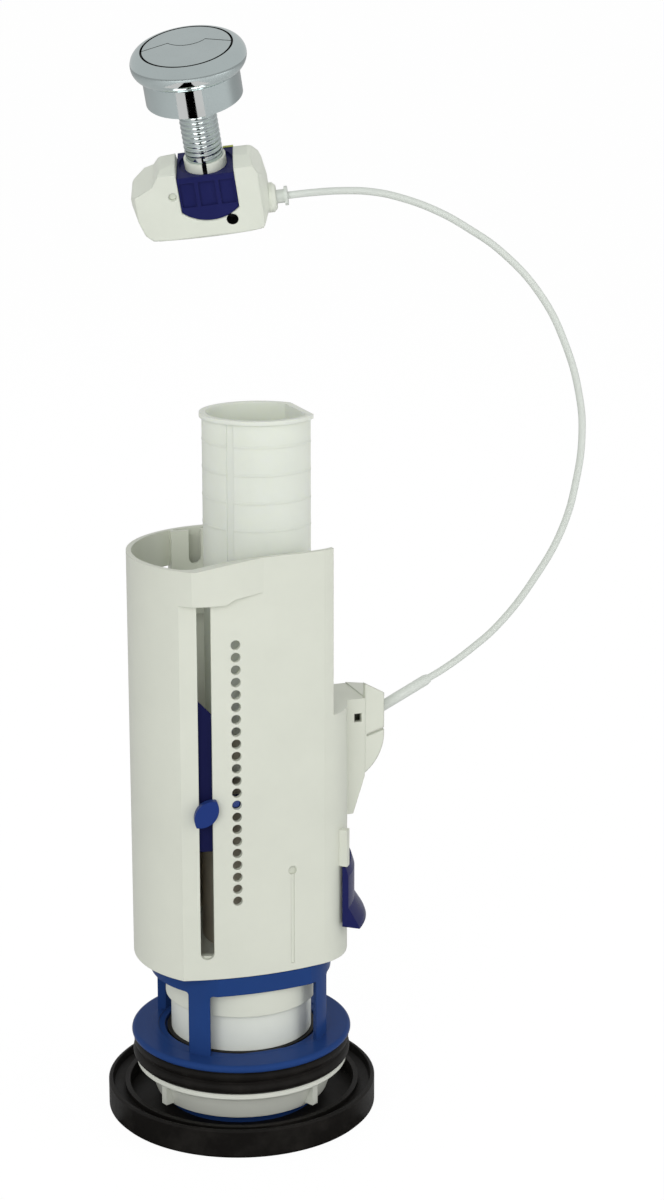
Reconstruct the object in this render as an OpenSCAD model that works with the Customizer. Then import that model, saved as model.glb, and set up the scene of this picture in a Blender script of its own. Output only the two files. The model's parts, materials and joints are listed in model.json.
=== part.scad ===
// Cable-operated dual-flush valve for a close-coupled cistern, in millimetres.
// The origin is on the valve's axis at the underside of the pan gasket, +Z is up,
// the slotted front panel faces -Y and the cable lever is on the +X side.

/* [Pan gasket] */
// Outside radius of the pan gasket
gasket_r = 53; // [49:0.5:60]
// Height of the gasket's outer wall
gasket_h = 11.5; // [9.5:0.5:14]
// Thickness of the gasket's floor around the tail
gasket_floor = 4; // [2:0.5:6]
// Radius of the well that the back nut stands in
gasket_well_r = 44.5; // [43:0.5:47]
// Width of the thin outer lip
gasket_lip = 1.6; // [1:0.2:2.4]
// Depth of the shelf below the outer lip
gasket_shelf = 3; // [1.5:0.5:4]

/* [Outlet and basket] */
// Outside radius of the threaded tail
tail_r = 29.8; // [28.5:0.1:31]
// Radius of the outlet socket inside the tail
outlet_r = 26; // [25:0.1:27]
// Depth of the outlet socket
socket_depth = 20; // [12:0.5:24]
// Radius of the throat under the valve seat
throat_r = 24.5; // [23:0.1:24.9]
// Radius of the basket's flange
flange_r = 43.4; // [40:0.2:46]
// Thickness of the basket's flange
flange_t = 3; // [2.5:0.1:4]
// Radius of the recess around the valve seat
recess_r = 30.4; // [30.2:0.1:31.5]
// Height of the seat above the flange's underside
seat_rise = 0.5; // [0.3:0.1:1]
// Height of the legs between flange and band
leg_h = 25; // [20:0.5:32]
// Width of a leg
leg_w = 9.5; // [7:0.5:13]
// Outside radius of the legs and the band
band_r = 35.5; // [34.5:0.1:37]
// Wall of the band and the legs
band_wall = 2.6; // [2:0.1:3.2]
// Height of the band
band_h = 12.5; // [9:0.5:15]

/* [Back nut and cistern seal] */
// Height of the nut above the floor
nut_low = 8; // [6.5:0.5:10]
// Height of the nut
nut_h = 13.3; // [10:0.1:16]
// Radius of the nut's flange
nut_flange_r = 41.6; // [39:0.2:42.5]
// Thickness of the nut's flange
nut_flange_t = 2.9; // [2:0.1:4]
// Radius of the nut's foot
nut_foot_r = 34; // [32.5:0.5:36]
// Radius of the nut's body under its flange
nut_waist_r = 37.6; // [36:0.2:38.5]
// Angle between the two grip wings on each side of the nut
wing_spread = 101; // [80:1:110]
// Height of the cistern seal
seal_h = 9.2; // [6:0.1:12]
// Outside radius of the cistern seal
seal_r = 43; // [39:0.5:45]

/* [Casing] */
// Radius of the casing
casing_r = 42; // [41:0.2:45]
// Wall of the casing
casing_wall = 2; // [1.6:0.1:2.4]
// Radius of the slotted front panel's arc
panel_r = 115; // [95:1:140]
// Distance of the front panel from the axis
panel_y = 32; // [31:0.2:34]
// Blend between the front panel and the lever side
panel_blend = 20; // [14:1:24]
// Height of the casing
casing_h = 161; // [150:1:180]
// Depth that the casing reaches below its floor
casing_skirt = 7; // [4:0.5:9]
// Rise of the front panel's upper edge above the rim
panel_rise = 3.75; // [2.5:0.05:5]
// Distance of the front wing's free edge from the axis
wing_x = 29; // [27.5:0.1:30]
// Height of the raised band at the top of the panel
top_band_h = 13.2; // [10:0.2:14]
// Thickness of the casing's floor
plate_t = 2; // [1.6:0.1:3]
// Length of the guide sleeve below the floor
sleeve_h = 23; // [14:0.5:24]

/* [Volume scale] */
// Number of holes in the scale
hole_count = 22; // [12:1:22]
// Radius of a hole
hole_r = 1.85; // [1.5:0.05:2]
// Distance between two holes
hole_pitch = 4.8; // [4.2:0.1:5]
// Distance of the row of holes from the slot
hole_in = 11.7; // [10.5:0.1:13]
// Height of the lowest hole above the casing's edge
hole_low = 31.2; // [28:0.2:40]
// Hole that the peg stands behind, counted up from 0
peg_hole = 8; // [2:1:14]
// Distance of the slot from the panel's left corner
slot_in = 9; // [8:0.1:10]
// Width of the slot
slot_w = 5.2; // [4.4:0.1:6]
// Height of the slot's lower end above the casing's edge
slot_low = 8.2; // [7:0.2:10]
// Distance of the slot's upper end below the rim
slot_top = 14; // [13:0.5:18]

/* [Half-flush adjuster] */
// Height of the adjuster's body
adjuster_h = 63; // [40:1:66]
// Width of the adjuster's body
adjuster_w = 10; // [8:0.2:11]
// Thickness of the adjuster's body
adjuster_t = 3; // [2:0.1:4]
// Part of the body below the knob
adjuster_drop = 16.5; // [12:0.5:20]
// Length of the leaf-shaped knob
knob_len = 12.6; // [10:0.2:14]
// Width of the leaf-shaped knob
knob_w = 8; // [6.5:0.1:9]
// Thickness of the knob
knob_t = 3; // [2:0.1:4]

/* [Overflow tube] */
// Radius of the overflow tube
tube_r = 21; // [19:0.1:22]
// Distance of the tube's centre from the axis
tube_x = 8.6; // [7:0.1:9]
// Distance of the tube's flat from its centre
tube_flat = 16.7; // [15:0.1:18]
// Wall of the tube
tube_wall = 1.5; // [1.2:0.1:1.8]
// Height of the tube above the casing's rim
tube_reach = 52; // [40:1:70]
// Length of the tube
tube_len = 167; // [155:1:172]
// Pitch of the cutting rings on the tube
ring_pitch = 10.5; // [8:0.5:13]

/* [Valve stem] */
// Radius of the plunger
plunger_r = 27.7; // [27.5:0.1:28.2]
// Height of the plunger
plunger_h = 38; // [34:0.5:40]
// Wall of the plunger
plunger_wall = 1.6; // [1.2:0.1:1.7]
// Thickness of the flap seal
flap_t = 2; // [1.5:0.1:3]
// Radius of the flap seal
flap_r = 29.4; // [28.5:0.1:29.7]
// Radius of the seal retainer's neck
neck_r = 20.5; // [18:0.1:21.5]
// Height of the socket that holds the tube
tube_socket_h = 86; // [78:1:90]
// Wall of the socket
tube_socket_wall = 1.7; // [1.4:0.1:2]
// Lift of the valve stem in a flush
stem_lift = 10; // [7:0.5:11]

/* [Float] */
// Height of the float
float_h = 66; // [50:1:75]
// Wall of the float
float_wall = 1.6; // [1.2:0.1:2]

/* [Flush shutter] */
// Height of the shutter
shutter_h = 24.5; // [22:0.5:27]
// Thickness of the shutter
shutter_t = 2.5; // [2:0.1:3]
// Half of the angle that the shutter covers
shutter_half = 39; // [34:1:44]
// Height of the shutter above the casing's edge
shutter_low = 13; // [12:0.5:14]
// Reach of the shutter's grip lip
shutter_lip = 4.6; // [3:0.2:7]

/* [Cable lever] */
// Distance of the lever's pivot outside the casing wall
lever_out = 3; // [2.5:0.1:3.4]
// Height of the lever's pivot
lever_z = 145; // [142:0.5:148]
// Reach of the stem's lug that the lever lifts
lug_reach = 3; // [2.5:0.1:3.6]
// Angle of the cable's exit above the horizontal
cable_angle = 26; // [22:1:30]
// Width of the lever housing
hump_w = 22; // [20:0.5:26]
// Reach of the lever housing's pocket outside the casing
pocket_out = 6; // [5.6:0.1:7]
// Reach of the cable anchor outside the casing
anchor_out = 14; // [12:0.5:16]

/* [Cable] */
// Radius of the cable's sheath
sheath_r = 1.4; // [1.2:0.1:1.6]
// Radius of the inner wire
wire_r = 0.6; // [0.5:0.05:0.65]
// Radius of the lower ferrule
ferrule_r = 2.1; // [1.9:0.1:2.5]
// Length of the lower ferrule
ferrule_len = 30; // [24:0.5:34]
// Radius of the wire's end nipples
nipple_r = 1.6; // [1.4:0.1:1.8]

/* [Cable box] */
// Length of the box on the free side of the stem
box_left = 28.5; // [27.5:0.5:33]
// Length of the box on the cable side of the stem
box_right = 22; // [21:0.5:24]
// Depth of the box below the stem's crossing
box_low = 13.3; // [13:0.1:15]
// Height of the box above the crossing
box_high = 16.5; // [16:0.1:18]
// Thickness of the box from front to back
box_t = 24; // [23:0.2:27]
// Slope of the box's top from its crest down to its front edge
box_slope = 1.8; // [1:0.1:3]
// Width of the clip
clip_w = 22; // [21:0.2:23]
// Height of the clip's top above the crossing
clip_top = 12.8; // [12:0.1:13.4]
// Depth of the clip's round lower end
clip_low = 6; // [5:0.1:7]
// Height of the cable below the crossing
cable_drop = 5.5; // [5:0.1:6]
// Radius of the cable boss
boss_r = 5.7; // [5:0.1:6.5]
// Length of the cable boss
boss_len = 2.6; // [2:0.1:4]
// Distance of the crank's pin from the stem
crank_x = 13.4; // [13:0.1:14.2]
// Height of the crank's pin above the crossing
crank_z = 5.6; // [5.2:0.1:6]

/* [Push button] */
// Radius of the chrome rim
bezel_r = 21.8; // [21:0.2:26]
// Radius of the pair of buttons
button_r = 16.6; // [15:0.05:17.2]
// Radius of the skirt below the rim
skirt_r = 18.25; // [17.4:0.05:20]
// Length of the skirt below the rim
skirt_h = 10.5; // [8:0.1:14]
// Thickness of the skirt
skirt_wall = 1.5; // [1.2:0.1:2]
// Height of the rim's top above the stem's crossing
button_top = 60; // [56:0.5:70]
// Radius of the threaded stem
stem_r = 7; // [6.8:0.1:7.5]
// Radius of the bore through the stem
stem_bore = 5; // [4.9:0.1:5.3]
// Travel of the buttons
press_travel = 4; // [3:0.1:4.2]
// Gap between the buttons and the rim around them
bezel_gap = 0.8; // [0.5:0.05:1.2]
// Gap between the two buttons
button_gap = 0.5; // [0.3:0.05:0.8]
// Thickness of the buttons
button_t = 2.6; // [2:0.1:3.4]

/* [Clearances] */
// Gap between pieces that slide past each other
run_gap = 0.35; // [0.25:0.05:0.5]
// Gap of a pin in its hole and of a pressed-on piece
pin_gap = 0.05; // [0.03:0.01:0.08]

/* [Hidden] */
$fn = 64;

cream = [0.85, 0.87, 0.81];
white = [0.93, 0.94, 0.92];
base_blue = [0.13, 0.25, 0.56];
navy = [0.13, 0.13, 0.42];
knob_blue = [0.16, 0.28, 0.66];
rubber = [0.11, 0.10, 0.10];
chrome = [0.72, 0.74, 0.75];
lime = [0.78, 0.80, 0.40];
steel = [0.60, 0.61, 0.62];
brass = [0.72, 0.58, 0.30];

// Heights of the stack, from the floor up
nut_top = nut_low + nut_h;
seal_top = nut_top + seal_h;
flange_top = seal_top + flange_t;
band_z = flange_top + leg_h;
band_top = band_z + band_h;
plate_top = band_top + plate_t;
casing_z = plate_top - casing_skirt;
casing_top = casing_z + casing_h;
tube_top = casing_top + tube_reach;
seat_z = seal_top + seat_rise;
plunger_z = seat_z + flap_t;
plunger_top = plunger_z + plunger_h;
eps = 0.01;

// Front panel: an arc about a centre far behind the axis, blended into the round wall
panel_c = panel_r - panel_y;
blend_y = (pow(panel_r - panel_blend, 2) - pow(panel_c, 2) - pow(casing_r - panel_blend, 2)) / (-2 * panel_c);
blend_x = sqrt(pow(casing_r - panel_blend, 2) - pow(blend_y, 2));
corner_y = (panel_c * panel_c - panel_r * panel_r + casing_r * casing_r) / (2 * panel_c);
slot_x = sqrt(casing_r * casing_r - corner_y * corner_y) - slot_in;
hole_x = slot_x - hole_in;
plate_gap = 0.1;
ledge_w = 2.4;
ledge_h = 2;
end_wall = 3;
crown_t = 2;
retainer_t = 3;
retainer_gap = 1;
sleeve_wall = 1.7;
peg_z = casing_z + hole_low + peg_hole * hole_pitch;
knob_z = peg_z - 2;
body_d = casing_wall + run_gap;

// Cable lever: swing to either side of its middle, and the wire's line past the pivot
rod_r = 1.8;
crank_turn = atan(press_travel / (crank_x - rod_r));
crank_drop = crank_z + cable_drop;
wire_pull = 2 * crank_drop * tan(crank_turn / 2);
lever_x = casing_r + lever_out;
socket_out = run_gap + tube_socket_wall;
tip_x = tube_x + tube_flat + socket_out + lug_reach;
lever_swing = atan(stem_lift / 2 / (lever_x - tip_x));
lever_arm = (lever_x - tip_x) / cos(lever_swing);
nipple_d = wire_pull / 2 / tan(lever_swing);
wire_dir = [cos(cable_angle), 0, sin(cable_angle)];
wire_mid = [lever_x - nipple_d * sin(cable_angle), 0, lever_z + nipple_d * cos(cable_angle)];
function wire_at(s) = wire_mid + s * wire_dir;
tip_r = 1.5;
hub_r = 3.6;
lever_t = 9;
lever_pin_r = 1.5;
pin_end = 0.8;
lever_gap = 0.8;
lug_z = lever_z - lever_arm * sin(lever_swing) + tip_r + lever_gap;
lug_h = 6;
lug_w = 8;
wire_bore = 0.8;
hump_wall = 2;
hump_rise = 20.7;
hump_drop = 11;
tail_drop = 26;
hump_top = lever_z + hump_rise;
hump_low = lever_z - hump_drop;
hump_tail = lever_z - tail_drop;
anchor_r = 19.5;
anchor_z = lever_z + 6;
anchor_x = casing_r + anchor_out - anchor_r;
pocket_x = casing_r + pocket_out;
ferrule_seat = (pocket_x + 4 - wire_mid[0]) / cos(cable_angle);
ferrule_end = ferrule_seat + ferrule_len;

// Flush shutter
shutter_r = casing_r + run_gap;
shutter_z = casing_z + shutter_low;
shutter_top = shutter_z + shutter_h;
shutter_travel = 10;
tongue_t = 0.9;
tongue_h = shutter_travel + 3;
rail_gap = 0.3;
rail_h = tongue_h + 2.2;
rail_turn = 3.8;
rail_side = 1.3;

// Float
float_in = plunger_r + 2 * run_gap;
float_out = casing_r - casing_wall - ledge_w - 2 * run_gap;
float_from = 96;
float_to = 204;

// Cable box and push button, in the head's own frame
head_at = [4, 41, 357];
head_turn = [22, -7.5, -20];
head_spin = -1.5;
half_rod_r = 1.3;
rod_y = -2.2;
half_rod_y = 3.4;
rod_end = 0.2;
half_rod_end = 5.4;
crank_t = 6;
crank_half = 1.5;
crank_pin_r = 1.5;
crank_hub = 3.4;
crank_bar_z = rod_end - run_gap - crank_half;
groove_w = 2.2;
cavity_t = 9;
clip_plate = 3.4;
clip_back = 9.6;
collar_r = stem_r + 1;
collar_flange = 1.4;
collar_flange_r = collar_r + 0.6;
collar_rise = 2.6;
stem_end = 3;
rim_round = bezel_r - button_r - run_gap;
skirt_top = button_top - 2 * rim_round;
skirt_z = skirt_top - skirt_h;
web_t = 2;
web_z = skirt_z + 4;
upper_ferrule_r = 2.6;
upper_collar_r = 3.7;
upper_ferrule_end = box_right + boss_len + 4.4;
spring_r = 3;
spring_wire = 0.4;
spring_turns = 5;
spring_y = 10.5;

function rot_x(a, v) = [v[0], v[1] * cos(a) - v[2] * sin(a), v[1] * sin(a) + v[2] * cos(a)];
function rot_y(a, v) = [v[0] * cos(a) + v[2] * sin(a), v[1], v[2] * cos(a) - v[0] * sin(a)];
function rot_z(a, v) = [v[0] * cos(a) - v[1] * sin(a), v[0] * sin(a) + v[1] * cos(a), v[2]];
function head_dir(v) =
    rot_z(head_turn[2], rot_y(head_turn[1], rot_x(head_turn[0], rot_z(head_spin, v))));

// Cable route, chosen by hand between its two ferrules
cable_start = head_at + head_dir([upper_ferrule_end, 0, -cable_drop]);
cable_out = head_dir([1, 0, 0]);
cable_end = wire_at(ferrule_end);
cable_lead = 7;
cable_route = [
    [52, 22, 357.5], [62, 18, 357], [71, 14, 355], [84, 9, 350], [95, 4, 343.5], [107, -1, 334.5],
    [121, -7, 318], [130, -11, 299], [135, -14, 279], [136, -15, 265], [134, -15, 246.5],
    [129, -14, 227.5], [119, -12, 208.5], [105, -8, 189], [95, -5, 179.5]
];
cable_points = concat(
    [cable_start, cable_start + cable_lead * cable_out],
    cable_route,
    [cable_end + cable_lead * wire_dir, cable_end]
);

function unit(v) = v / norm(v);
function knot(p, i) = p[max(0, min(len(p) - 1, i))];
function spline(a, b, c, d, t) =
    0.5 * (2 * b + (c - a) * t + (2 * a - 5 * b + 4 * c - d) * t * t + (3 * b - a - 3 * c + d) * t * t * t);
function smooth_path(p, parts) = concat(
    [for (i = [0 : len(p) - 2], k = [0 : parts - 1])
        spline(knot(p, i - 1), p[i], p[i + 1], knot(p, i + 2), k / parts)],
    [p[len(p) - 1]]
);
function path_dirs(p, first, last) = [for (i = [0 : len(p) - 1])
    i == 0 ? unit(first) : i == len(p) - 1 ? unit(last) : unit(p[i + 1] - p[i - 1])];

// Round rod swept along a path, with one ring of points at each of its points
module swept_rod(path, dirs, r, sides, ref) {
    rings = [for (i = [0 : len(path) - 1])
        let (u = unit(cross(dirs[i], ref)), v = cross(u, dirs[i]))
        for (k = [0 : sides - 1]) path[i] + r * (cos(360 * k / sides) * u + sin(360 * k / sides) * v)];
    last = (len(path) - 1) * sides;
    walls = [for (i = [0 : len(path) - 2], k = [0 : sides - 1])
        let (a = i * sides + k, b = i * sides + (k + 1) % sides)
        each [[a, b, b + sides], [a, b + sides, a + sides]]];
    caps = [
        [for (k = [sides - 1 : -1 : 0]) k],
        [for (k = [0 : sides - 1]) last + k]
    ];
    polyhedron(points = rings, faces = concat(walls, caps));
}

// Outline of the casing, moved inwards by a distance
module casing_outline(inset) {
    difference() {
        intersection() {
            circle(r = casing_r - inset);
            translate([0, panel_c]) circle(r = panel_r - inset);
        }
        blend_corner();
    }
    translate([blend_x, blend_y]) circle(r = panel_blend - inset);
}

// Wedge of the outline that the blend replaces, a little narrower than the blend's arc
module blend_corner() {
    lap = 4;
    from = atan2(blend_y - panel_c, blend_x) + lap;
    to = atan2(blend_y, blend_x) - lap;
    middle = (from + to) / 2;
    far = 2 * panel_blend;
    translate([blend_x, blend_y]) polygon([
        [0, 0],
        far * [cos(from), sin(from)],
        2 * far * [cos(middle), sin(middle)],
        far * [cos(to), sin(to)]
    ]);
}

// Curved slab behind the front panel, between two depths below its face
module panel_slab(x_from, x_to, low, high, depth_from, depth_to) {
    translate([0, 0, low]) linear_extrude(high - low) intersection() {
        translate([0, panel_c]) difference() {
            circle(r = panel_r - depth_from);
            circle(r = panel_r - depth_to);
        }
        translate([x_from, -panel_y - casing_r]) square([x_to - x_from, 2 * casing_r]);
    }
}

// Places a shape on the face of the front panel, with -Y outwards
module on_panel(x, z) {
    translate([0, panel_c, z]) rotate([0, 0, asin(x / panel_r)]) translate([0, -panel_r, 0]) children();
}

// Cylinder along Y between two places
module y_rod(r, from, to) {
    translate([0, to, 0]) rotate([90, 0, 0]) cylinder(r = r, h = to - from);
}

// Cylinder along X between two places
module x_rod(r, from, to) {
    translate([from, 0, 0]) rotate([0, 90, 0]) cylinder(r = r, h = to - from);
}

// Flat shape drawn in X and Z, given a thickness along Y
module xz_plate(t) {
    rotate([90, 0, 0]) linear_extrude(t, center = true) children();
}

// Sector of a ring about the axis
module ring_sector(r_in, r_out, low, high, from, to) {
    rotate([0, 0, from]) rotate_extrude(angle = to - from)
        translate([r_in, low]) square([r_out - r_in, high - low]);
}

// Outline of the overflow tube, moved outwards by a distance
module tube_outline(out) {
    translate([tube_x, 0]) intersection() {
        circle(r = tube_r + out);
        translate([-2 * tube_r, -2 * tube_r]) square([2 * tube_r + tube_flat + out, 4 * tube_r]);
    }
}

// Arm of a lever with a round end, along +X
module arm_outline(length, half) {
    translate([0, -half]) square([length, 2 * half]);
    translate([length, 0]) circle(r = half);
}

module pan_gasket() {
    ring_w = 2;
    ring_h = 1.5;
    shelf_z = gasket_h - gasket_shelf;
    color(rubber) rotate_extrude() polygon([
        [tail_r + pin_gap, 0],
        [gasket_r - 1, 0],
        [gasket_r, 1],
        [gasket_r, gasket_h - 0.6],
        [gasket_r - 0.6, gasket_h],
        [gasket_r - gasket_lip, gasket_h],
        [gasket_r - gasket_lip - 0.6, shelf_z],
        [gasket_well_r + ring_w, shelf_z - 0.6],
        [gasket_well_r + ring_w, shelf_z + ring_h],
        [gasket_well_r, shelf_z + ring_h],
        [gasket_well_r, gasket_floor],
        [tail_r + pin_gap, gasket_floor]
    ]);
}

module back_nut() {
    flange_z = nut_top - nut_flange_t;
    wing_t = 3;
    wing_up = 1;
    wing_out = 0.6;
    wing_turn = 250;
    color(white) difference() {
        union() {
            rotate_extrude() polygon([
                [tail_r - 1, nut_low],
                [nut_foot_r, nut_low],
                [nut_waist_r, flange_z],
                [nut_flange_r - 0.8, flange_z],
                [nut_flange_r, flange_z + 0.8],
                [nut_flange_r, nut_top - 0.8],
                [nut_flange_r - 0.8, nut_top],
                [tail_r - 1, nut_top]
            ]);
            for (half = [0, 180], side = [-0.5, 0.5]) rotate([0, 0, wing_turn + half + side * wing_spread])
                translate([tail_r + 1, -wing_t / 2, nut_low + wing_up])
                cube([nut_waist_r + wing_out - tail_r - 1, wing_t, flange_z - nut_low - wing_up + eps]);
        }
        translate([0, 0, nut_low - 1]) cylinder(r = tail_r + pin_gap, h = nut_h + 2);
    }
}

module cistern_seal() {
    ridge_r = seal_h / 4;
    color(rubber) rotate_extrude() difference() {
        union() {
            translate([tail_r, nut_top]) square([seal_r - 1.4 - tail_r, seal_h]);
            translate([seal_r - ridge_r, nut_top + ridge_r]) circle(r = ridge_r);
            translate([seal_r - ridge_r - 0.4, seal_top - ridge_r]) circle(r = ridge_r);
        }
        translate([0, nut_top - 1]) square([tail_r + pin_gap, seal_h + 2]);
    }
}

// Window of the basket between two legs, with round upper corners
module basket_window() {
    leg_half = leg_w / (2 * band_r) * 180 / PI;
    half_w = band_r * sin(45 - leg_half);
    sill_h = 0.06;
    corner = 1.2;
    rise = leg_h - sill_h;
    rotate([90, 0, 90]) translate([0, flange_top + sill_h]) linear_extrude(flange_r) {
        translate([-half_w, 0]) square([2 * half_w, rise - corner]);
        translate([corner - half_w, 0]) square([2 * (half_w - corner), rise]);
        for (y = [corner - half_w, half_w - corner]) translate([y, rise - corner]) circle(r = corner);
    }
}

// Outline of the basket's legs and band, behind the front panel's face by a depth
module band_outline(inset, depth) {
    intersection() {
        circle(r = band_r - inset);
        translate([0, panel_c]) circle(r = panel_r - depth);
    }
}

module base_basket() {
    floor_cut = 0.3;
    face_in = 0.4;
    front_wall = 1.4;
    low_h = casing_z - run_gap - flange_top;
    color(base_blue) difference() {
        union() {
            cylinder(r = tail_r, h = seal_top + eps);
            rotate_extrude() {
                translate([0, seal_top]) square([flange_r - flange_t / 2, flange_t]);
                translate([flange_r - flange_t / 2, seal_top + flange_t / 2]) circle(r = flange_t / 2);
            }
            translate([0, 0, flange_top - eps]) linear_extrude(low_h + eps) band_outline(0, face_in);
            translate([0, 0, casing_z - 1]) linear_extrude(band_top - casing_z + 1)
                band_outline(0, casing_wall + run_gap);
        }
        translate([0, 0, flange_top - floor_cut]) linear_extrude(leg_h + band_h + 1)
            band_outline(band_wall, face_in + front_wall);
        for (a = [0 : 90 : 270]) rotate([0, 0, a]) basket_window();
        translate([0, 0, -1]) cylinder(r = outlet_r, h = socket_depth + 1);
        translate([0, 0, socket_depth - eps]) cylinder(r = throat_r, h = seat_z);
        translate([0, 0, seat_z]) cylinder(r = recess_r, h = flange_top - seat_z + eps);
    }
}

module guide_plate() {
    guide_r = plunger_r + run_gap;
    color(cream) difference() {
        union() {
            translate([0, 0, band_top]) linear_extrude(plate_t) casing_outline(casing_wall + plate_gap);
            translate([0, 0, band_top - sleeve_h]) cylinder(r = guide_r + sleeve_wall, h = sleeve_h + eps);
        }
        translate([0, 0, band_top - sleeve_h - 1]) cylinder(r = guide_r, h = sleeve_h + plate_t + 2);
        translate([0, 0, plunger_top - run_gap]) linear_extrude(plate_t + 1) tube_outline(socket_out + run_gap);
    }
}

module valve_plunger() {
    color(white) difference() {
        translate([0, 0, plunger_z]) cylinder(r = plunger_r, h = plunger_h);
        translate([0, 0, plunger_z + end_wall])
            cylinder(r = plunger_r - plunger_wall, h = plunger_h - end_wall - crown_t);
        translate([0, 0, plunger_z - 1]) cylinder(r = neck_r + pin_gap, h = end_wall + 2);
        translate([0, 0, plunger_top - crown_t - 1]) linear_extrude(crown_t + 2) tube_outline(-tube_wall);
    }
}

module flap_seal() {
    color(rubber) translate([0, 0, seat_z]) difference() {
        cylinder(r = flap_r, h = flap_t);
        translate([0, 0, -1]) cylinder(r = neck_r + pin_gap, h = flap_t + 2);
    }
}

module seal_retainer() {
    color(white) difference() {
        union() {
            translate([0, 0, seat_z - retainer_t]) cylinder(r = throat_r - retainer_gap, h = retainer_t);
            translate([0, 0, seat_z - eps]) cylinder(r = neck_r, h = flap_t + end_wall + eps);
        }
        translate([0, 0, seat_z - retainer_t - 1])
            cylinder(r = neck_r - 2.5, h = retainer_t + flap_t + end_wall + 2);
    }
}

module stem_socket() {
    color(white) translate([0, 0, plunger_top]) linear_extrude(tube_socket_h) difference() {
        tube_outline(socket_out);
        tube_outline(run_gap);
    }
}

module lift_collar() {
    collar_w = 2.4;
    lug_from = tube_x + tube_flat + socket_out + 1;
    color(white) {
        translate([0, 0, lug_z]) linear_extrude(lug_h) difference() {
            union() {
                tube_outline(socket_out + collar_w);
                translate([lug_from, -lug_w / 2]) square([tip_x + 0.8 - lug_from, lug_w]);
            }
            tube_outline(socket_out + pin_gap);
        }
    }
}

module overflow_tube() {
    rim_h = 1.6;
    ring_h = 0.7;
    ring_out = 0.12;
    ring_count = floor((tube_reach - 6) / ring_pitch);
    groove_turn = -138;
    groove_d = 0.35;
    groove_across = 2.8;
    color(white) difference() {
        union() {
            translate([0, 0, tube_top - tube_len]) linear_extrude(tube_len) tube_outline(0);
            translate([0, 0, tube_top - rim_h]) linear_extrude(rim_h) tube_outline(1);
            for (i = [1 : ring_count]) translate([0, 0, tube_top - i * ring_pitch])
                linear_extrude(ring_h) tube_outline(ring_out);
        }
        translate([0, 0, tube_top - tube_len - 1]) linear_extrude(tube_len + 2) tube_outline(-tube_wall);
        translate([tube_x, 0, tube_top - tube_len - 1]) rotate([0, 0, groove_turn])
            translate([tube_r - groove_d, -groove_across / 2, 0])
                cube([2, groove_across, tube_len + 1 - rim_h]);
    }
}

module main_float() {
    wall_turn = float_wall / float_in * 180 / PI;
    color(white) difference() {
        ring_sector(float_in, float_out, plate_top, plate_top + float_h, float_from, float_to);
        ring_sector(float_in + float_wall, float_out - float_wall, plate_top - 1, plate_top + float_h - float_wall,
            float_from + wall_turn, float_to - wall_turn);
    }
}

// Pocket on the lever side, drawn in X and Z
module pocket_outline(inset, lap) {
    inner_x = casing_r - casing_wall - 3;
    polygon([
        [inner_x, hump_tail + inset],
        [casing_r + 1.2 - inset, hump_tail + inset],
        [pocket_x - inset, hump_low + inset],
        [pocket_x - inset, hump_top + lap - inset],
        [inner_x, hump_top + lap - inset]
    ]);
}

// Guide rail that laps over one tongue of the flush shutter, drawn for its front side
module shutter_rail() {
    low = shutter_top + run_gap;
    high = shutter_top + rail_h;
    lap_r = shutter_r + tongue_t + rail_gap;
    rail_r = lap_r + 0.8;
    ring_sector(lap_r, rail_r, low, high, -shutter_half, rail_turn - shutter_half);
    ring_sector(casing_r - 1, rail_r, low, high, -shutter_half, rail_side - shutter_half);
    ring_sector(casing_r - 1, rail_r, high - 1.6, high, -shutter_half, rail_turn - shutter_half);
}

module casing_shell() {
    difference() {
        union() {
            translate([0, 0, casing_z]) linear_extrude(casing_h + panel_rise + 1) casing_outline(0);
            top_band();
            intersection() {
                xz_plate(hump_w) pocket_outline(0, 1);
                translate([casing_r - casing_wall, -hump_w, hump_tail])
                    cube([2 * casing_r, 2 * hump_w, casing_h]);
            }
        }
        translate([0, 0, casing_z - 1]) linear_extrude(casing_h + panel_rise + 3) casing_outline(casing_wall);
        rim_cut();
    }
}

// Space above the rim, level behind the front panel and following a rising edge above it
module rim_cut() {
    edge_r = 154;
    crest_x = 8;
    level = 0.1;
    far = 3 * casing_r;
    difference() {
        translate([-far, -far, casing_top]) cube([2 * far, 2 * far, 3 * panel_rise]);
        translate([crest_x, 0, casing_top + panel_rise - edge_r]) y_rod(edge_r, -far, -panel_y / 2);
        translate([crest_x, -far, 0]) cube([far, far - panel_y / 2, casing_top + panel_rise - level]);
    }
}

// Raised band at the top of the front panel, with a stepped lower edge that fades out towards the lever side
module top_band() {
    band_arc = 60;
    band_c = [-13, band_arc - panel_y - 1.4];
    step_x = [-15, -11.5, -3];
    step_z = [0, 2, 3.2];
    low = casing_top - top_band_h;
    intersection() {
        translate([0, 0, low]) linear_extrude(top_band_h + panel_rise + 1) intersection() {
            circle(r = casing_r);
            translate(band_c) circle(r = band_arc);
            translate([-casing_r, -casing_r]) square([1.3 * casing_r, casing_r - slot_w]);
        }
        xz_plate(4 * casing_r) polygon([
            [-2 * casing_r, low],
            [step_x[0], low + step_z[0]],
            [step_x[1], low + step_z[1]],
            [step_x[2], low + step_z[2]],
            [casing_r, low + 2 * step_z[2]],
            [casing_r, casing_top + 3 * panel_rise],
            [-2 * casing_r, casing_top + 3 * panel_rise]
        ]);
    }
}

// Deck that closes the cut-away above the cable lever
module lever_deck() {
    deck_t = 2;
    translate([0, 0, hump_top - deck_t]) linear_extrude(deck_t + 1) intersection() {
        casing_outline(casing_wall - 0.5);
        translate([wing_x + 0.5, -casing_r]) square(2 * casing_r);
    }
}

module scale_holes() {
    for (i = [0 : hole_count - 1])
        on_panel(-hole_x, casing_z + hole_low + i * hole_pitch) y_rod(hole_r, -6, casing_wall + 3);
}

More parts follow.
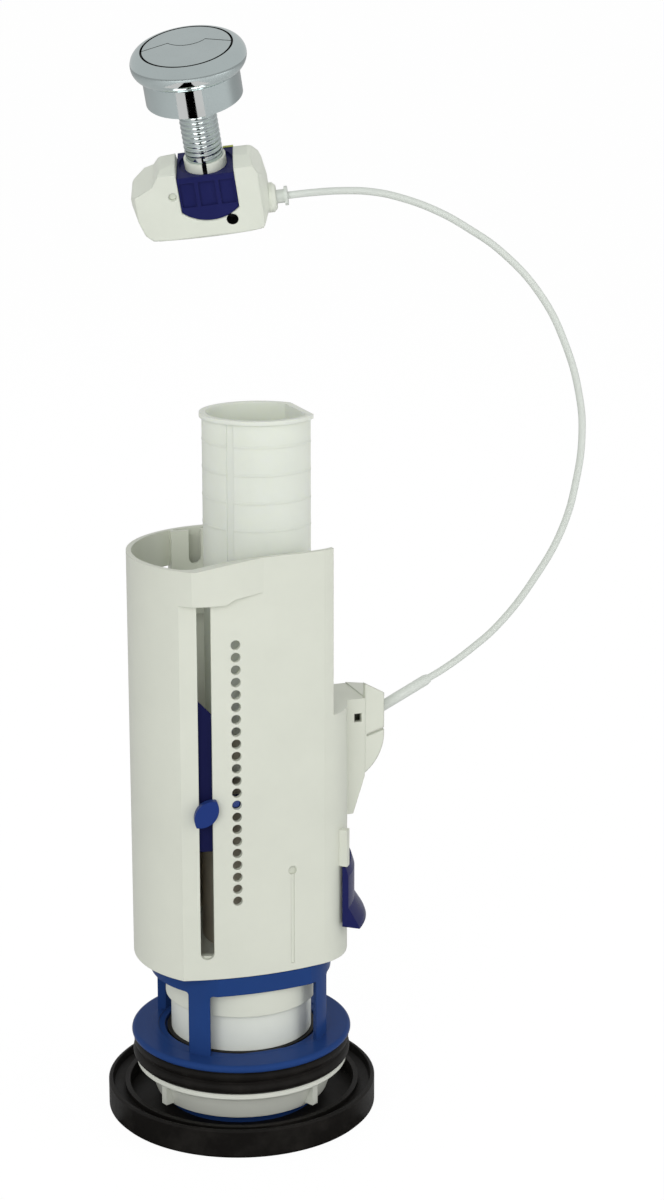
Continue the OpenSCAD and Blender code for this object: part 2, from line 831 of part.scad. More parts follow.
module adjuster_slot() {
    slot_z = casing_z + slot_low + slot_w / 2;
    on_panel(-slot_x, 0) {
        translate([0, 0, slot_z]) y_rod(slot_w / 2, -6, casing_wall + 3);
        translate([-slot_w / 2, -6, slot_z]) cube([slot_w, casing_wall + 9, casing_top - slot_top - slot_z]);
    }
}

// Cut-away on the lever side and the back, above the lever's housing
module side_cut() {
    back_x = 8;
    translate([wing_x, -2 * casing_r, hump_top]) cube([casing_r, 4 * casing_r, casing_h]);
    translate([back_x, 0, hump_top]) cube([casing_r, 2 * casing_r, casing_h]);
}

// Plate with a round notch inside the back wall, and the window beside it
module back_plate() {
    plate_x = [-15, 2];
    plate_y = casing_r - casing_wall - 6;
    plate_w = 1.6;
    plate_h = 34;
    notch_x = -6.2;
    notch_w = 5;
    notch_h = 11;
    difference() {
        translate([plate_x[0], plate_y, casing_top - plate_h])
            cube([plate_x[1] - plate_x[0], plate_w, plate_h]);
        translate([notch_x, 0, casing_top - notch_h]) {
            y_rod(notch_w / 2, plate_y - 1, plate_y + plate_w + 1);
            translate([-notch_w / 2, plate_y - 1, 0]) cube([notch_w, plate_w + 2, notch_h + 1]);
        }
    }
    for (x = plate_x) translate([x - plate_w / 2, plate_y, casing_top - plate_h])
        cube([plate_w, sqrt(pow(casing_r - 1, 2) - x * x) - plate_y, plate_h]);
}

module back_window() {
    window_turn = 115.6;
    window_w = 5;
    window_h = 16;
    rotate([0, 0, window_turn])
        translate([casing_r - casing_wall - 2, -window_w / 2, casing_top - 14 - window_h])
        cube([casing_wall + 4, window_w, window_h]);
}

module lever_opening() {
    opening_w = lever_t + 4;
    translate([casing_r - casing_wall - 6, -opening_w / 2, hump_low])
        cube([12, opening_w, hump_top - 5 - hump_low]);
}

module pocket_space() {
    xz_plate(hump_w - 2 * hump_wall) intersection() {
        pocket_outline(hump_wall, 0);
        translate([casing_r - 1, hump_low - 2]) square([casing_r, hump_top - hump_low]);
    }
    translate([pocket_x - hump_wall - 1, 0, (hump_low + hump_top) / 2])
        cube([2 * hump_wall + 4, hump_w - 2 * hump_wall, hump_top - hump_low - 10], center = true);
}

module casing() {
    line_x = hole_x;
    line_w = 1.4;
    line_d = 0.3;
    dimple_z = casing_z + hole_low + 2 * hole_pitch;
    clip_slot = [3, 3.4];
    vent_half = 26;
    color(cream) {
        difference() {
            union() {
                casing_shell();
                lever_deck();
                shutter_rail();
                mirror([0, 1, 0]) shutter_rail();
            }
            scale_holes();
            adjuster_slot();
            side_cut();
            back_window();
            lever_opening();
            pocket_space();
            ring_sector(casing_r - casing_wall - 1, casing_r + 1, shutter_z + 6, shutter_z + shutter_h - 8,
                -vent_half, vent_half);
            translate([lever_x, 0, lever_z]) y_rod(lever_pin_r + pin_gap, pin_end - hump_w / 2, hump_w);
            translate([lever_x - 1.4, -hump_w / 2 - 1, hump_top - 9.4])
                cube([clip_slot[0], hump_wall + 2, clip_slot[1]]);
            on_panel(line_x, dimple_z) y_rod(1.7, -2, 1.2);
            on_panel(line_x, casing_z) translate([-line_w / 2, -2, 3])
                cube([line_w, 2 + line_d, dimple_z - casing_z - 4]);
        }
        translate([0, 0, plate_top]) linear_extrude(ledge_h) difference() {
            casing_outline(casing_wall - eps);
            casing_outline(casing_wall + ledge_w);
            circle(r = plunger_r + 2 * run_gap);
        }
        back_plate();
    }
}

module half_flush_adjuster() {
    body_from = -slot_x - adjuster_w / 2;
    body_to = -slot_x + adjuster_w / 2;
    low = knob_z - adjuster_drop;
    slope = 12;
    arm_h = 5;
    arm_d = casing_wall + 2;
    color(navy) {
        difference() {
            panel_slab(body_from, body_to, low, low + adjuster_h, body_d, body_d + adjuster_t);
            translate([body_to + 1, -panel_y, low + adjuster_h - slope]) rotate([90, 0, 0])
                linear_extrude(4 * panel_y, center = true)
                polygon([[0, 0], [0, slope + 1], [-adjuster_w - 2, slope + 1]]);
        }
        panel_slab(body_to - 1, -hole_x + 3, peg_z - arm_h / 2, peg_z + arm_h / 2, arm_d, arm_d + 1.4);
    }
}

// Leaf outline, two arcs that meet in points at its ends
module leaf_outline(length, width) {
    leaf_r = (length * length / 4 + width * width / 4) / width;
    intersection() {
        translate([leaf_r - width / 2, 0]) circle(r = leaf_r);
        translate([width / 2 - leaf_r, 0]) circle(r = leaf_r);
    }
}

module adjuster_knob() {
    lean = -38;
    neck_w = slot_w - 2 * run_gap;
    neck_h = 6;
    color(knob_blue) on_panel(-slot_x, knob_z) {
        translate([0, -run_gap - knob_t / 2, 0]) xz_plate(knob_t) rotate(lean) leaf_outline(knob_len, knob_w);
        translate([-neck_w / 2, -run_gap - eps, -neck_h / 2])
            cube([neck_w, run_gap + body_d - pin_gap, neck_h]);
    }
}

module adjuster_peg() {
    color(knob_blue) on_panel(-hole_x, peg_z)
        y_rod(hole_r - 0.2, casing_wall + run_gap, casing_wall + 2 - pin_gap);
}

module flush_shutter() {
    lip_h = 8;
    edge_h = 3.6;
    edge_d = 1.1;
    tongue_from = rail_side + 0.5;
    tongue_to = rail_turn + 1;
    color(navy) {
        rotate([0, 0, -shutter_half]) rotate_extrude(angle = 2 * shutter_half) polygon([
            [shutter_r, shutter_z],
            [shutter_r + shutter_t + shutter_lip, shutter_z],
            [shutter_r + shutter_t + shutter_lip - 0.6, shutter_z + 1.6],
            [shutter_r + shutter_t, shutter_z + lip_h],
            [shutter_r + shutter_t, shutter_top - edge_h],
            [shutter_r + shutter_t - edge_d, shutter_top],
            [shutter_r, shutter_top]
        ]);
        for (side = [0, 1]) mirror([0, side, 0])
            ring_sector(shutter_r + pin_gap, shutter_r + tongue_t, shutter_top - 1, shutter_top + tongue_h,
                tongue_from - shutter_half, tongue_to - shutter_half);
    }
}

// Side of the cable anchor, drawn in X and Z, with a round lower end
module anchor_outline() {
    side_x = anchor_x + anchor_r - 0.05;
    cheek = [20.5, 16];
    intersection() {
        union() {
            translate([anchor_x, anchor_z]) circle(r = anchor_r);
            translate([anchor_x, anchor_z - 1]) square([side_x - anchor_x, 2 * anchor_r]);
        }
        polygon([
            [pocket_x, hump_tail],
            [pocket_x, anchor_z + cheek[0]],
            [side_x, anchor_z + cheek[1]],
            [2 * side_x, anchor_z + cheek[1]],
            [2 * side_x, hump_tail]
        ]);
    }
}

module cable_anchor() {
    slit_z = lever_z + 5.1;
    cheek_t = 2;
    back_top = [15.2, 12.2];
    color(cream) difference() {
        xz_plate(hump_w) anchor_outline();
        translate([0, hump_w, 0]) xz_plate(3 * hump_w - 2 * cheek_t) polygon([
            [pocket_x - 1, anchor_z + back_top[0]],
            [pocket_x + anchor_r, anchor_z + back_top[1]],
            [pocket_x + anchor_r, anchor_z + 2 * anchor_r],
            [pocket_x - 1, anchor_z + 2 * anchor_r]
        ]);
        xz_plate(hump_w - 2 * hump_wall) intersection() {
            translate([anchor_x, anchor_z]) circle(r = anchor_r - hump_wall - 1);
            translate([pocket_x - 1, hump_tail]) square([2 * anchor_r, 4 * anchor_r]);
        }
        translate([pocket_x + 1, -hump_w / 2 - 1, slit_z]) rotate([0, -17, 0]) cube([anchor_r, 2, 0.8]);
        translate(wire_at(ferrule_seat)) rotate([0, 90 - cable_angle, 0])
            cylinder(r = ferrule_r + pin_gap, h = ferrule_len);
    }
}

module lift_lever() {
    fork_len = nipple_d / cos(lever_swing) + nipple_r + 1.8;
    color(white) translate([lever_x, 0, lever_z]) difference() {
        xz_plate(lever_t) {
            circle(r = hub_r);
            rotate(180 + lever_swing) arm_outline(lever_arm, tip_r);
            rotate(90 + cable_angle + lever_swing) arm_outline(fork_len - 2.6, 2.6);
        }
        y_rod(lever_pin_r + pin_gap, -lever_t, lever_t);
        xz_plate(lever_t + 2) rotate(90 + cable_angle + lever_swing) translate([nipple_d, 0]) {
            circle(r = nipple_r + run_gap);
            translate([0, -nipple_r - run_gap]) square([2 * nipple_d, 2 * (nipple_r + run_gap)]);
        }
        rotate([0, -90 - cable_angle - lever_swing, 0]) translate([hub_r - 0.4, -groove_w / 2, -3 * hub_r])
            cube([2 * lever_arm, groove_w, 3 * hub_r + nipple_r]);
    }
}

module lever_pin() {
    color(steel) translate([lever_x, 0, lever_z])
        y_rod(lever_pin_r, pin_end + 0.2 - hump_w / 2, hump_w / 2 - 0.2);
}

module lower_nipple() {
    color(brass) translate(wire_at(-wire_pull / 2)) y_rod(nipple_r, -lever_t / 2 + 0.4, lever_t / 2 - 0.4);
}

module lower_wire() {
    color(steel) translate(wire_at(-wire_pull / 2)) rotate([0, 90 - cable_angle, 0]) difference() {
        cylinder(r = wire_r, h = wire_pull / 2 + ferrule_seat + 8);
        rotate([90, 0, 0]) cylinder(r = nipple_r + pin_gap, h = lever_t, center = true);
    }
}

module lower_ferrule() {
    color(white) translate(wire_at(ferrule_seat)) rotate([0, 90 - cable_angle, 0]) rotate_extrude() polygon([
        [wire_bore, 0],
        [ferrule_r, 0],
        [ferrule_r, ferrule_len - 1.6],
        [sheath_r + 0.3, ferrule_len],
        [wire_bore, ferrule_len]
    ]);
}

module cable_sheath() {
    path = smooth_path(cable_points, 2);
    color(white) swept_rod(path, path_dirs(path, cable_out, -wire_dir), sheath_r, 8, head_dir([0, 1, 0]));
}

// Places a shape in the frame of the cable box: +Z along the button's stem, +X towards the cable
module at_head() {
    translate(head_at) rotate(head_turn) rotate([0, 0, head_spin]) children();
}

module upper_ferrule() {
    seat_x = box_right - 2;
    collar_w = 1.2;
    color(white) at_head() translate([0, 0, -cable_drop]) difference() {
        union() {
            x_rod(upper_ferrule_r, seat_x, upper_ferrule_end);
            x_rod(upper_collar_r, upper_ferrule_end - collar_w, upper_ferrule_end);
        }
        x_rod(wire_bore, seat_x - 1, upper_ferrule_end + 1);
    }
}

module upper_nipple() {
    color(brass) at_head() translate([-crank_x + wire_pull / 2, 0, -cable_drop])
        y_rod(nipple_r, -crank_t / 2 + 0.3, crank_t / 2 - 0.3);
}

module upper_wire() {
    color(steel) at_head() translate([-crank_x + wire_pull / 2, 0, -cable_drop]) difference() {
        x_rod(wire_r, 0, crank_x + box_right + 1);
        y_rod(nipple_r + pin_gap, -crank_t, crank_t);
    }
}

// Side of the cable box, drawn in X and Z, with a slightly rounded bottom
module box_side() {
    corner = 2.5;
    bottom_r = 150;
    intersection() {
        offset(r = corner) offset(delta = -corner) polygon([
            [-box_left + 5.5, -2 * box_low],
            [-box_left + 5.5, -box_low + 1],
            [-box_left + 2.5, -box_low + 4],
            [-box_left - 0.9, 2.5],
            [-box_left - 1.1, 6],
            [-box_left + 8, box_high - 6],
            [-box_left + 11, box_high - 0.9],
            [-clip_w / 2, box_high],
            [box_right - 4.5, box_high],
            [box_right - 1.2, box_high - 7],
            [box_right, 2.5],
            [box_right, -box_low / 2],
            [box_right - 3, -box_low + 1.8],
            [box_right - 5, -2 * box_low]
        ]);
        translate([-3, bottom_r - box_low]) circle(r = bottom_r, $fn = 128);
    }
}

// End of the cable box, drawn in Y and Z, with its crest in front of a sloping back
module box_end() {
    half = box_t / 2;
    polygon([
        [-half, 1 - box_low],
        [2 - half, -1 - box_low],
        [half - 5, -1 - box_low],
        [half, 5 - box_low],
        [half, box_high - 11],
        [2, box_high + 0.3],
        [-4, box_high + 0.3],
        [-half, box_high - box_slope]
    ]);
}

// Plan of the cable box, drawn in X and Y, with slanted ends
module box_plan() {
    half = box_t / 2;
    polygon([
        [-box_left + 1.2, -half - 1],
        [box_right - 2.6, -half - 1],
        [box_right + 0.3, 8 - half],
        [box_right + 0.3, half - 8],
        [box_right - 8, half + 1],
        [-box_left + 8, half + 1],
        [-box_left - 1.4, half - 8],
        [-box_left - 1.4, 5 - half]
    ]);
}

// Slot for the clip, drawn in X and Z, with a round lower end
module clip_outline(inset) {
    arc_r = 16;
    half = clip_w / 2 - inset;
    intersection() {
        translate([-half, -clip_low]) square([2 * half, box_high + 2 * clip_low]);
        union() {
            translate([0, arc_r - clip_low]) circle(r = arc_r - inset);
            translate([-half, arc_r - clip_low]) square([2 * half, box_high + 10]);
        }
    }
}

module actuator_body() {
    boss_seat = box_right - 2;
    boss_end = box_right + boss_len;
    boss_edge = 1.2;
    cavity_left = -crank_x - 7;
    cavity_right = 9;
    cavity_low = 2.6 - box_low;
    cavity_top = crank_z + crank_hub + 0.6;
    hole_at = [7.7, 0, -6.4];
    hole_radius = 2.2;
    color(cream) at_head() difference() {
        union() {
            intersection() {
                xz_plate(box_t) box_side();
                translate([-2 * box_left, 0, 0]) rotate([90, 0, 90]) linear_extrude(4 * box_left) box_end();
                translate([0, 0, -2 * box_low]) linear_extrude(4 * box_low) box_plan();
            }
            translate([0, 0, -cable_drop]) {
                x_rod(boss_r, box_right - 4, boss_end - boss_edge);
                translate([boss_end - boss_edge - eps, 0, 0]) rotate([0, 90, 0])
                    cylinder(r1 = boss_r, r2 = boss_r - boss_edge, h = boss_edge + eps);
            }
        }
        xz_plate(box_t + 2) clip_outline(0);
        xz_plate(cavity_t) polygon([
            [cavity_left, cavity_low],
            [cavity_left, crank_z],
            [-crank_x - crank_hub - 0.6, cavity_top],
            [0, cavity_top],
            [cavity_right, 0],
            [cavity_right, cavity_low]
        ]);
        translate([-crank_x, 0, crank_z]) y_rod(crank_pin_r + pin_gap, -box_t / 2 - 1, box_t / 2 - 3);
        translate([0, 0, -cable_drop]) {
            x_rod(wire_bore + 0.1, 0, boss_end + 1);
            x_rod(upper_ferrule_r + pin_gap, boss_seat, boss_end + 1);
        }
        translate(hole_at) y_rod(hole_radius, -box_t, -box_t / 2 + 6);
    }
}

module stem_clip() {
    rib_x = 3.9;
    rib_half = 0.8;
    edge = 0.8;
    panel_low = 0.3;
    panel_d = 1.3;
    panels = [[edge - clip_w / 2, -rib_x - rib_half], [rib_half - rib_x, rib_x - rib_half],
        [rib_x + rib_half, clip_w / 2 - edge]];
    space = box_t - 9;
    dish_r = collar_r + 2.4;
    color(navy) at_head() difference() {
        intersection() {
            xz_plate(box_t - 1) clip_outline(0.15);
            translate([-clip_w, -box_t, -2 * clip_low])
                cube([2 * clip_w, box_t + clip_back, 2 * clip_low + clip_top]);
        }
        translate([-clip_w, -space / 2, -2 * clip_low])
            cube([2 * clip_w, space, 2 * clip_low + clip_top - clip_plate]);
        translate([0, 0, -2 * clip_low])
            cylinder(r = collar_flange_r + run_gap, h = 2 * clip_low + clip_top - clip_plate);
        cylinder(r = collar_r + pin_gap, h = 3 * clip_top);
        translate([0, 0, clip_top - 1.2]) cylinder(r = dish_r, h = 3);
        for (x = panels) translate([x[0], -box_t / 2, panel_low])
            cube([x[1] - x[0], panel_d, clip_top - 2.5 - panel_low]);
    }
}

module lock_tab() {
    color(lime) at_head() translate([clip_w / 2 - 4.5, clip_back, clip_top - 7]) cube([4, 1, 7.3]);
}

module stem_collar() {
    flange_z = clip_top - clip_plate - collar_flange;
    notch_w = 1.6;
    color(white) at_head() difference() {
        union() {
            translate([0, 0, flange_z]) cylinder(r = collar_flange_r, h = collar_flange);
            translate([0, 0, flange_z]) cylinder(r = collar_r, h = clip_top + collar_rise - flange_z);
        }
        translate([0, 0, flange_z - 1]) cylinder(r = stem_r + pin_gap, h = 3 * clip_top);
        translate([-notch_w / 2, -collar_r - 2, clip_top - 0.5]) cube([notch_w, collar_r, collar_rise + 1]);
    }
}

module bell_crank() {
    fork_len = crank_drop / cos(crank_turn / 2) + nipple_r + 1.4;
    bar_len = crank_x + rod_r;
    color(lime) at_head() translate([-crank_x, 0, crank_z]) difference() {
        xz_plate(crank_t) {
            circle(r = crank_hub);
            rotate(-90 + crank_turn / 2) arm_outline(fork_len - 2.5, 2.5);
            translate([0, crank_bar_z - crank_z - crank_half]) square([bar_len, 2 * crank_half]);
        }
        y_rod(crank_pin_r + pin_gap, -crank_t, crank_t);
        xz_plate(crank_t + 2) rotate(-90 + crank_turn / 2) translate([crank_drop, 0]) {
            circle(r = nipple_r + run_gap);
            translate([0, -nipple_r - run_gap]) square([2 * crank_drop, 2 * (nipple_r + run_gap)]);
        }
        translate([0, -groove_w / 2, -2 * crank_drop])
            cube([2 * crank_x, groove_w, 2 * crank_drop - crank_hub - 0.4]);
    }
}

module crank_pin() {
    color(white) at_head() translate([-crank_x, 0, crank_z])
        y_rod(crank_pin_r, -box_t / 2 + 1.2, box_t / 2 - 3);
}

module button_housing() {
    color(chrome) at_head() rotate_extrude() difference() {
        union() {
            intersection() {
                translate([bezel_r - rim_round, button_top - rim_round]) circle(r = rim_round);
                translate([button_r + run_gap, skirt_z]) square([bezel_r, 2 * button_top]);
            }
            translate([skirt_r - skirt_wall, skirt_z])
                square([skirt_wall, button_top - rim_round - skirt_z]);
            translate([button_r + run_gap, skirt_top]) square([skirt_r - button_r - run_gap, rim_round]);
            translate([0, web_z]) square([skirt_r - eps, web_t]);
            translate([0, stem_end]) square([stem_r, web_z - stem_end + eps]);
        }
        translate([0, stem_end - 1]) square([stem_bore, button_top]);
        translate([0, button_top - button_t - press_travel - run_gap]) square([button_r + run_gap, button_top]);
        translate([0, button_top - button_t]) square([button_r + bezel_gap, button_top]);
    }
}

// Outline of the smaller rear button: two straight edges and a round tongue between them
module rear_outline(grow) {
    shoulder = [7, 5];
    end_y = 0.6;
    tongue_y = 1.5;
    sag = shoulder[1] - tongue_y;
    tongue_r = (shoulder[0] * shoulder[0] + sag * sag) / (2 * sag);
    far = 2 * button_r;
    slope = (shoulder[1] - end_y) / (button_r - shoulder[0]);
    translate([0, -grow]) {
        polygon([
            [-far, shoulder[1] - slope * (far - shoulder[0])],
            [-shoulder[0], shoulder[1]],
            [shoulder[0], shoulder[1]],
            [far, shoulder[1] - slope * (far - shoulder[0])],
            [far, far],
            [-far, far]
        ]);
        translate([0, tongue_y + tongue_r]) circle(r = tongue_r);
    }
}

module full_flush_button() {
    color(chrome) at_head() translate([0, 0, button_top - button_t]) linear_extrude(button_t) difference() {
        circle(r = button_r);
        rear_outline(button_gap);
    }
}

module half_flush_button() {
    color(chrome) at_head() translate([0, 0, button_top - button_t]) linear_extrude(button_t) intersection() {
        circle(r = button_r);
        rear_outline(0);
    }
}

module full_push_rod() {
    color(white) at_head() translate([0, rod_y, rod_end])
        cylinder(r = rod_r, h = button_top - button_t - rod_end);
}

module half_push_rod() {
    color(white) at_head() translate([0, half_rod_y, half_rod_end])
        cylinder(r = half_rod_r, h = button_top - button_t - half_rod_end);
}

// Return spring between the housing's web and a button
module button_spring(y) {
    low = web_z + web_t + spring_wire;
    high = button_top - button_t - spring_wire;
    steps = 12 * spring_turns;
    path = [for (i = [0 : steps]) let (a = 360 * spring_turns * i / steps)
        [spring_r * cos(a), y + spring_r * sin(a), low + (high - low) * i / steps]];
    along = [0, spring_r, (high - low) / spring_turns / (2 * PI)];
    swept_rod(path, path_dirs(path, along, along), spring_wire, 6, [0, 0, 1]);
}

module full_button_spring() {
    color(steel) at_head() button_spring(-spring_y);
}

module half_button_spring() {
    color(steel) at_head() button_spring(spring_y);
}

pan_gasket();
back_nut();
cistern_seal();
base_basket();
guide_plate();
casing();
valve_plunger();
flap_seal();
seal_retainer();
stem_socket();
lift_collar();
overflow_tube();
main_float();
half_flush_adjuster();
adjuster_knob();
adjuster_peg();
flush_shutter();
cable_anchor();
lift_lever();
lever_pin();
lower_nipple();
lower_wire();
lower_ferrule();
cable_sheath();
upper_ferrule();
upper_wire();
upper_nipple();
actuator_body();
stem_clip();
lock_tab();
stem_collar();
bell_crank();
crank_pin();
button_housing();
full_flush_button();
full_push_rod();
full_button_spring();
half_flush_button();
half_push_rod();
half_button_spring();
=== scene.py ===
import json
import math

import bmesh
import bpy
from bpy.props import FloatProperty, FloatVectorProperty, IntProperty, PointerProperty
from mathutils import Matrix, Vector


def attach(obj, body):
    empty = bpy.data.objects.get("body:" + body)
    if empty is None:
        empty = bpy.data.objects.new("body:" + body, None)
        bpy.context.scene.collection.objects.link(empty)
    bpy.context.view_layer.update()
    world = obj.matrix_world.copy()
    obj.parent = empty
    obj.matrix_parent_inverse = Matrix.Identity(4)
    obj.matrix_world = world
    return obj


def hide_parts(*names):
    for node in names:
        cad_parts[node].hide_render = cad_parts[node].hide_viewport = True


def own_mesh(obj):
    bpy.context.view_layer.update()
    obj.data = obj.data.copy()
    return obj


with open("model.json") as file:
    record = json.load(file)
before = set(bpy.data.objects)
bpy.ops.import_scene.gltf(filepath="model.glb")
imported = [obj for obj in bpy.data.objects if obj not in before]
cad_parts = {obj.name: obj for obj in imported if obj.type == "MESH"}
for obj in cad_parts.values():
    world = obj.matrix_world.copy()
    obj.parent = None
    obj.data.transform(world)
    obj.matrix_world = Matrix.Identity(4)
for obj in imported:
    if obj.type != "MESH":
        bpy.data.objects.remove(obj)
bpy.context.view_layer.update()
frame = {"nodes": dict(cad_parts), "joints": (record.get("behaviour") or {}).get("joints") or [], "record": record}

bl_info = {
    "name": "Flush valve dressing",
    "version": (1, 0, 0),
    "blender": (4, 5, 0),
    "location": "3D View > Sidebar > Flush valve",
    "description": "Finishes, cable and threads of a cable-operated dual-flush valve",
    "category": "Object",
}

MM = 0.001
NODES = frame["nodes"]
JOINTS = {joint["name"]: joint for joint in frame["joints"]}
MOUNTS = {mount["name"]: mount for mount in frame["record"]["mounts"]}
BODY = "valve_body"

# The cable box has a frame of its own: +Z along the button's stem, +X towards the cable
HEAD_X = -Vector(JOINTS["upper_pull"]["axis"]).normalized()
HEAD_Y = Vector(JOINTS["crank_turn"]["axis"]).normalized()
HEAD_Z = -Vector(JOINTS["full_press"]["axis"]).normalized()
LID_HEIGHT = 50.3 * MM
SKIRT_HEIGHT = 45 * MM
HEAD_AT = Vector(MOUNTS["lid_hole"]["pos_m"]) - LID_HEIGHT * HEAD_Z
HEAD = Matrix((HEAD_X, HEAD_Y, HEAD_Z)).transposed().to_4x4()
HEAD.translation = HEAD_AT
WIRE_DIR = Vector(JOINTS["lower_pull"]["axis"]).normalized()

# Route of the cable between the leads out of its two ferrules, in metres
CABLE_LEAD = 7 * MM
CABLE_ROUTE = [
    (0.052, 0.022, 0.3575), (0.062, 0.018, 0.357), (0.071, 0.014, 0.355), (0.084, 0.009, 0.350),
    (0.095, 0.004, 0.3435), (0.107, -0.001, 0.3345), (0.121, -0.007, 0.318), (0.130, -0.011, 0.299),
    (0.135, -0.014, 0.279), (0.136, -0.015, 0.265), (0.1342, -0.0146, 0.2464),
    (0.1297, -0.0126, 0.2271), (0.1204, -0.0090, 0.2077),
    (0.1067, -0.0042, 0.1879), (0.0965, -0.0015, 0.1784),
]

# Name, place in metres, side in metres and power in watts of each soft lamp
LAMPS = (
    ("key_lamp", (-1.0, -1.5, 0.9), 1.3, 16.0),
    ("fill_lamp", (1.4, -1.2, 0.7), 1.2, 8.0),
    ("back_lamp", (0.3, 1.3, 1.4), 1.0, 3.0),
)
LAMP_TARGET = Vector((0.0, 0.0, 0.2))

# Two small lamps that only the chrome shows, set ahead of the button's skirt and below it
GLINT_AHEAD = 0.10
GLINT_DROP = 0.09
GLINT_OFFSETS = (("left_glint", -0.028), ("right_glint", 0.028))
GLINT_SIZE = 0.04
GLINT_POWER = 0.015


class ValveSizes(bpy.types.PropertyGroup):
    cable_diameter: FloatProperty(
        name="Cable diameter", description="Outside diameter of the cable's sheath",
        default=2.8 * MM, unit="LENGTH")
    thread_pitch: FloatProperty(
        name="Thread pitch", description="Pitch of the thread on the button's stem",
        default=2.0 * MM, unit="LENGTH")
    thread_depth: FloatProperty(
        name="Thread depth", description="Height of the thread above the stem",
        default=0.3 * MM, unit="LENGTH")
    thread_steps: IntProperty(
        name="Thread steps", description="Steps in one turn of the thread", default=40)
    edge_radius: FloatProperty(
        name="Edge radius", description="Rounding of moulded edges", default=0.35 * MM, unit="LENGTH")


class ValveColours(bpy.types.PropertyGroup):
    casing: FloatVectorProperty(
        name="Casing", description="Casing and cable anchor", subtype="COLOR", default=(0.72, 0.745, 0.65))
    stem: FloatVectorProperty(
        name="Stem", description="Plunger, lug and lever", subtype="COLOR", default=(0.78, 0.81, 0.74))
    # Greyer and browner than the plastic outside: painted shade for the inside of the casing
    inside: FloatVectorProperty(
        name="Inside", description="Tube socket and float inside the casing", subtype="COLOR",
        default=(0.60, 0.55, 0.45))
    # Black of the painted shade in gaps and holes
    dark: FloatVectorProperty(
        name="Dark", description="Deep gaps and holes", subtype="COLOR", default=(0.004, 0.004, 0.004))
    tube: FloatVectorProperty(
        name="Tube", description="Overflow tube", subtype="COLOR", default=(0.79, 0.83, 0.745))
    base: FloatVectorProperty(
        name="Base", description="Basket and flange", subtype="COLOR", default=(0.019, 0.056, 0.205))
    navy: FloatVectorProperty(
        name="Navy", description="Clip, shutter and adjuster", subtype="COLOR", default=(0.018, 0.021, 0.108))
    knob: FloatVectorProperty(
        name="Knob", description="Adjuster knob and peg", subtype="COLOR", default=(0.0187, 0.0444, 0.205))
    rubber: FloatVectorProperty(
        name="Rubber", description="Gasket and seals", subtype="COLOR", default=(0.0085, 0.0077, 0.0068))
    nut: FloatVectorProperty(
        name="Nut", description="Back nut", subtype="COLOR", default=(0.77, 0.79, 0.71))
    chrome: FloatVectorProperty(
        name="Chrome", description="Button, rim and stem", subtype="COLOR", default=(0.61, 0.69, 0.69))
    box: FloatVectorProperty(
        name="Box", description="Cable box and collar", subtype="COLOR", default=(0.81, 0.845, 0.745))
    cable: FloatVectorProperty(
        name="Cable", description="Cable sheath and ferrules", subtype="COLOR", default=(0.70, 0.74, 0.69))
    lime: FloatVectorProperty(
        name="Lime", description="Lock tab and crank", subtype="COLOR", default=(0.55, 0.60, 0.13))
    steel: FloatVectorProperty(
        name="Steel", description="Wires, pins and springs", subtype="COLOR", default=(0.45, 0.46, 0.47))
    brass: FloatVectorProperty(
        name="Brass", description="Nipples of the wire", subtype="COLOR", default=(0.50, 0.36, 0.12))


class Value:
    """One shader socket, so that maths on it reads as an expression."""

    def __init__(self, finish, socket):
        self.finish = finish
        self.socket = socket

    def maths(self, operation, first, second):
        return self.finish.node("ShaderNodeMath", {"operation": operation}, {0: first, 1: second})

    def __add__(self, other):
        return self.maths("ADD", self, other)

    __radd__ = __add__

    def __sub__(self, other):
        return self.maths("SUBTRACT", self, other)

    def __rsub__(self, other):
        return self.maths("SUBTRACT", other, self)

    def __mul__(self, other):
        return self.maths("MULTIPLY", self, other)

    def __gt__(self, other):
        return self.maths("GREATER_THAN", self, other)

    def __lt__(self, other):
        return self.maths("LESS_THAN", self, other)


